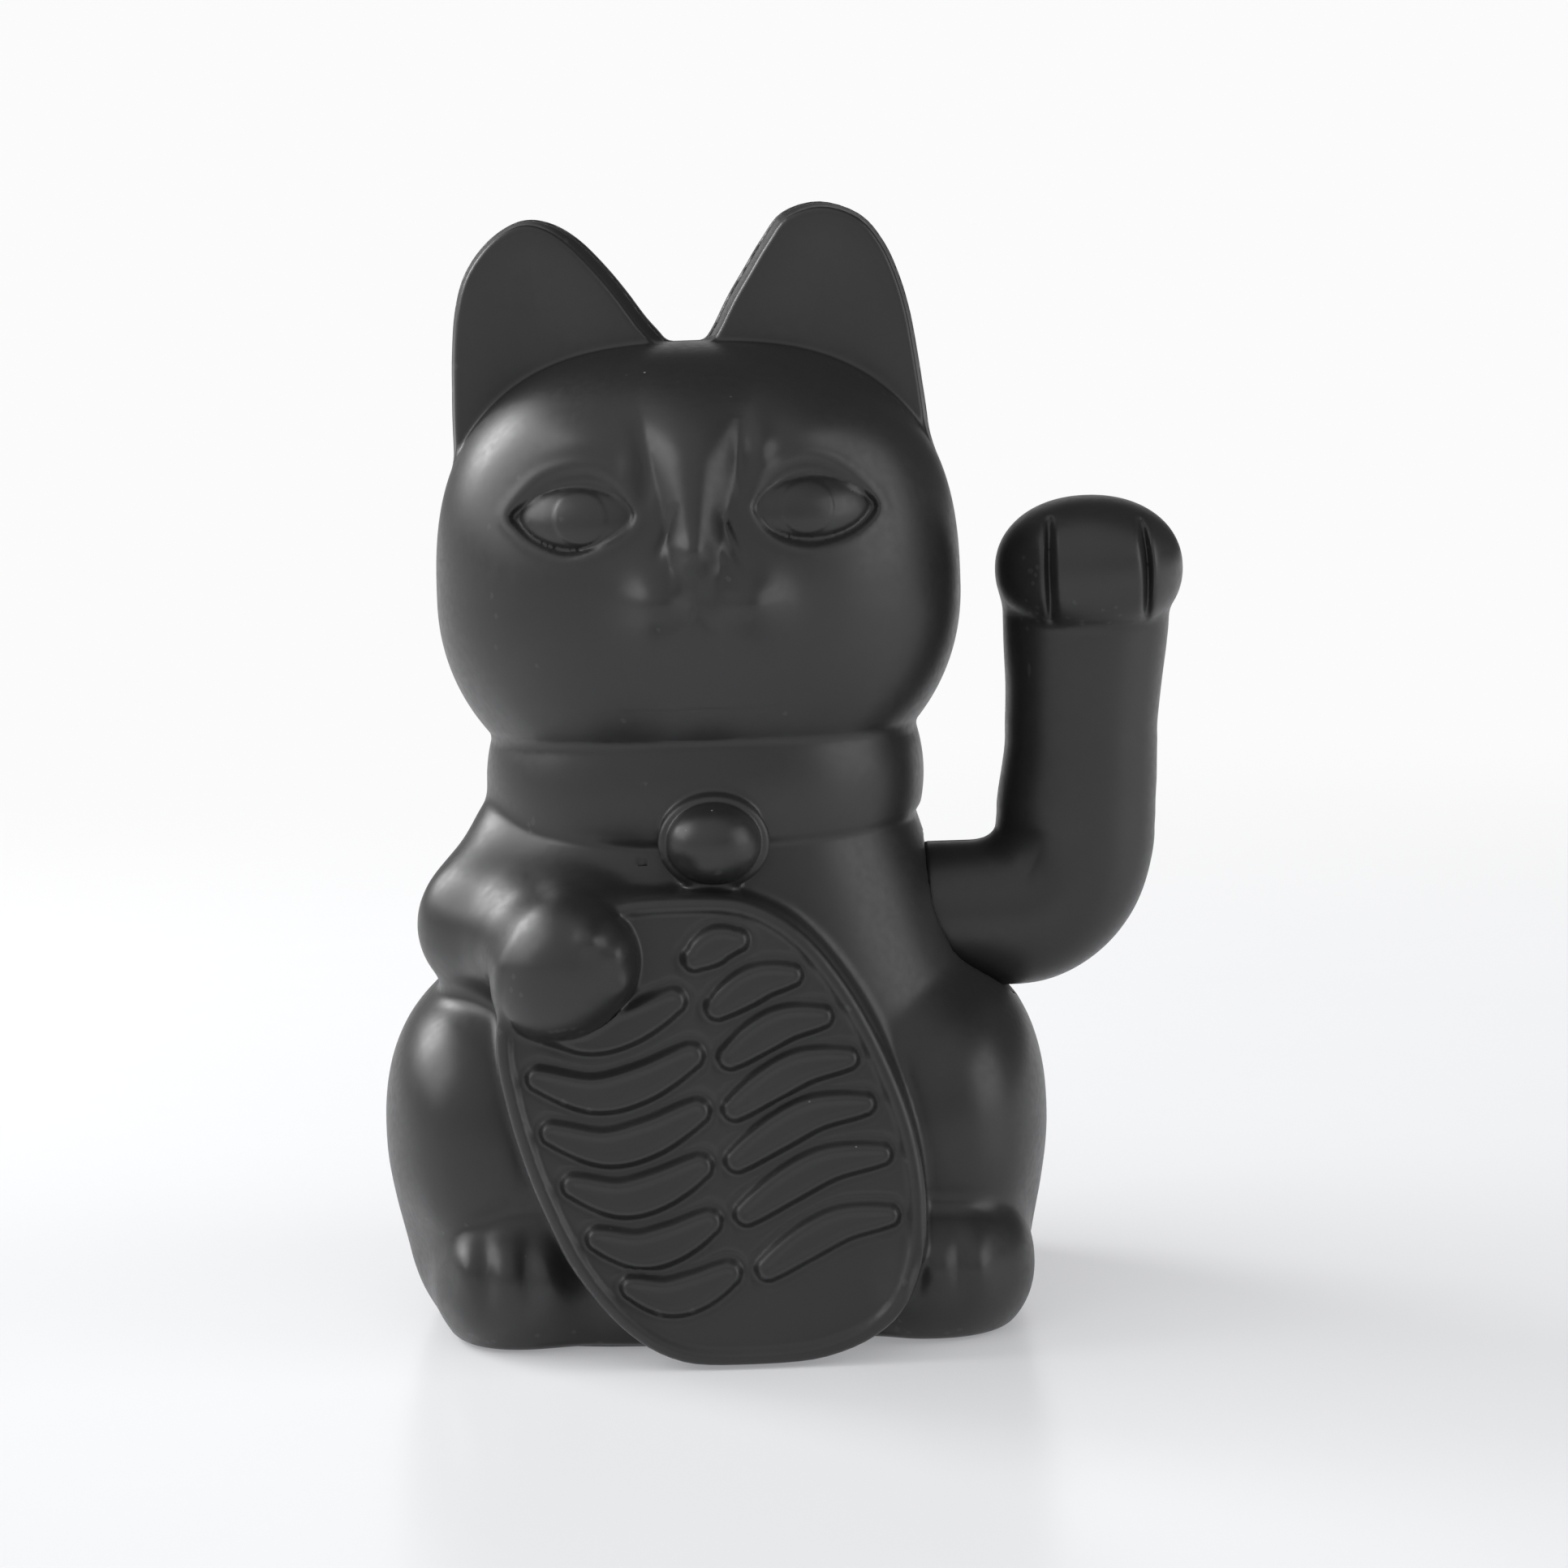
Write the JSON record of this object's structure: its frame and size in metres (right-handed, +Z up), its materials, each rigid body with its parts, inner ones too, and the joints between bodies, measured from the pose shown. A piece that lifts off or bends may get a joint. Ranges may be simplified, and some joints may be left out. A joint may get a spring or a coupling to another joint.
{
  "type": "beckoning cat figurine",
  "caption": "Seated black plastic cat figurine with a coin and bell collar, whose raised paw swings on a shaft driven by a battery-powered coil and magnet pendulum.",
  "frame": {"origin": "on the resting face, below the middle of the body", "axes": "+Z up, the cat faces -Y, its raised arm is on +X and turns about X"},
  "size_m": [0.1109, 0.0847, 0.1499],
  "materials": {
    "shell_black": "satin-matte moulded",
    "base_black": "fine spark-eroded texture",
    "natural_plastic": "plain moulded, unpigmented",
    "screw_steel": "zinc plated",
    "shaft_steel": "ground",
    "bush_brass": "turned",
    "ferrite": "sintered",
    "copper_winding": "enamelled wire",
    "board_green": "solder mask",
    "epoxy_black": "epoxy blob",
    "sleeve_blue": "shrink sleeve",
    "cell_can": "plain printed jacket",
    "contact_nickel": "nickel plated",
    "wire_red": "insulation",
    "wire_black": "insulation",
    "wire_white": "insulation"
  },
  "bodies": {
    "body": {"front_shell": "shell_black", "rear_shell": "shell_black", "base_plate": "base_black", "base_screws": "screw_steel", "bearing_bushes": "bush_brass", "drive_frame": "natural_plastic", "frame_screws": "screw_steel", "circuit_board": "board_green", "coil_bobbin": "natural_plastic", "drive_coil": "copper_winding", "driver_chip": "epoxy_black", "capacitor": "sleeve_blue", "battery_cell": "cell_can", "battery_spring": "contact_nickel", "contact_negative": "contact_nickel", "contact_positive": "contact_nickel", "switch_body": "contact_nickel", "lead_red": "wire_red", "lead_black": "wire_black", "lead_white": "wire_white"},
    "arm": {"arm_front_shell": "shell_black", "arm_rear_shell": "shell_black", "arm_hub": "base_black", "pivot_shaft": "shaft_steel", "retaining_clips": "screw_steel", "pendulum_lever": "natural_plastic", "counterweight": "shaft_steel", "drive_magnet": "ferrite"},
    "door": {"battery_door": "base_black"},
    "switch": {"switch_slider": "base_black"}
  },
  "joints": [
    {"name": "arm_swing", "type": "hinge", "parent": "body", "child": "arm", "pos_m": [0, 0, 0.0525], "axis": [1, 0, 0], "range_deg": [-25, 25]},
    {"name": "door_hinge", "type": "hinge", "parent": "body", "child": "door", "pos_m": [-0.0261, 0.0195, 0.0015], "axis": [0, 1, 0], "range_deg": [0, 100]},
    {"name": "switch_slide", "type": "slide", "parent": "body", "child": "switch", "axis": [1, 0, 0], "range_m": [0, 0.0026]}
  ]
}
